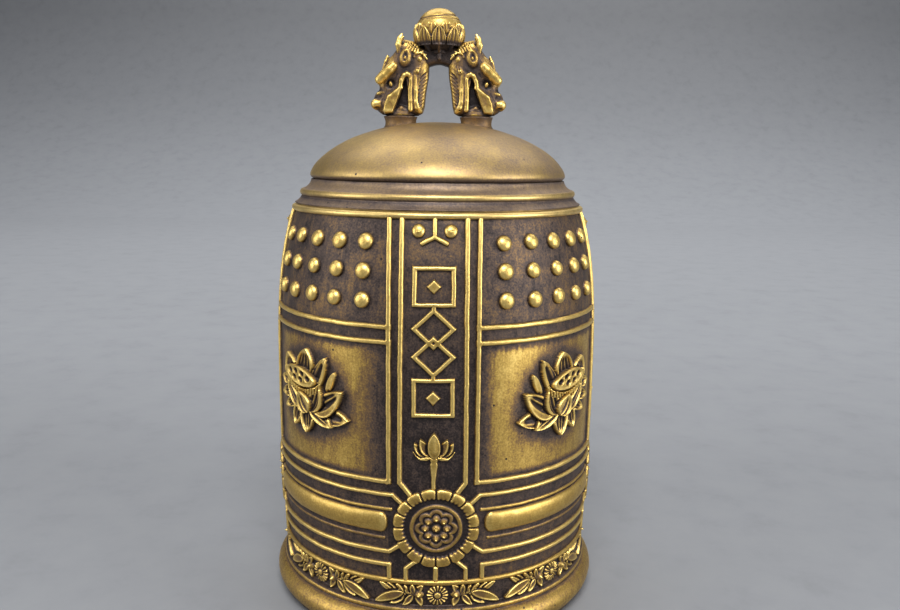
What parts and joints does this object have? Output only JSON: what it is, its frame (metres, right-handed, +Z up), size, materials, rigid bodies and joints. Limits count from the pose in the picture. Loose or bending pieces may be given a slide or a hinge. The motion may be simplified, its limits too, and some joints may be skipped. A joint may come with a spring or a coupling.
{
  "type": "temple bell",
  "caption": "Small cast-brass temple bell with relief panels, a crown handle of paired beast heads under a lotus jewel, and a clapper hung on a link from a staple in the crown.",
  "frame": {"origin": "on the bell's axis, in the plane of the rim that it stands on", "axes": "+Z up along the bell's axis; -Y is the front strap; the two heads of the handle lie along X"},
  "size_m": [0.0868, 0.0868, 0.1514],
  "materials": {
    "aged_brass": "dark brown-mauve patina in the grounds, brushed gold on the open panels and the lip",
    "rubbed_brass": "rubbed gold on every high edge, dark in the grooves",
    "crown_brass": "satin tan-gold, dark in the coves",
    "handle_brass": "gold on the high carving, black-brown in the cuts",
    "plain_brass": "dull unpolished, browned"
  },
  "bodies": {
    "bell": {"bell_shell": "aged_brass", "shoulder_moulding": "crown_brass", "crown_dome": "crown_brass", "frieze_ring": "rubbed_brass", "strap_studs": "rubbed_brass", "strap_sprays": "rubbed_brass", "panel_sprays": "rubbed_brass", "left_post": "handle_brass", "right_post": "handle_brass", "left_dragon_head": "handle_brass", "right_dragon_head": "handle_brass", "left_brow_horns": "handle_brass", "right_brow_horns": "handle_brass", "handle_arch": "handle_brass", "lotus_cup": "handle_brass", "jewel": "handle_brass", "tenon_washers": "plain_brass", "clapper_staple": "plain_brass", "strap_frame_front": "rubbed_brass", "strap_frame_right": "rubbed_brass", "strap_frame_back": "rubbed_brass", "strap_frame_left": "rubbed_brass", "fret_column_front": "rubbed_brass", "fret_column_right": "rubbed_brass", "fret_column_back": "rubbed_brass", "fret_column_left": "rubbed_brass", "lotus_sprig_front": "rubbed_brass", "lotus_sprig_right": "rubbed_brass", "lotus_sprig_back": "rubbed_brass", "lotus_sprig_left": "rubbed_brass", "strike_rosette_front": "rubbed_brass", "strike_rosette_right": "rubbed_brass", "strike_rosette_back": "rubbed_brass", "strike_rosette_left": "rubbed_brass", "panel_frame_a": "rubbed_brass", "panel_frame_b": "rubbed_brass", "panel_frame_c": "rubbed_brass", "panel_frame_d": "rubbed_brass", "boss_field_a": "rubbed_brass", "boss_field_b": "rubbed_brass", "boss_field_c": "rubbed_brass", "boss_field_d": "rubbed_brass", "lotus_relief_a": "rubbed_brass", "lotus_relief_b": "rubbed_brass", "lotus_relief_c": "rubbed_brass", "lotus_relief_d": "rubbed_brass", "belt_band_a": "rubbed_brass", "belt_band_b": "rubbed_brass", "belt_band_c": "rubbed_brass", "belt_band_d": "rubbed_brass", "belt_lines_a": "rubbed_brass", "belt_lines_b": "rubbed_brass", "belt_lines_c": "rubbed_brass", "belt_lines_d": "rubbed_brass"},
    "clapper_link": {"clapper_link": "plain_brass"},
    "clapper": {"clapper_rod": "plain_brass", "clapper_ball": "plain_brass", "clapper_tip": "plain_brass"}
  },
  "joints": [
    {"name": "link_swing", "type": "hinge", "parent": "bell", "child": "clapper_link", "pos_m": [0, 0, 0.1085], "axis": [0, 1, 0], "range_deg": [-20.5, 20.5]},
    {"name": "clapper_swing", "type": "hinge", "parent": "clapper_link", "child": "clapper", "pos_m": [0, 0, 0.0982], "axis": [1, 0, 0], "range_deg": [-5.5, 5.5]}
  ]
}
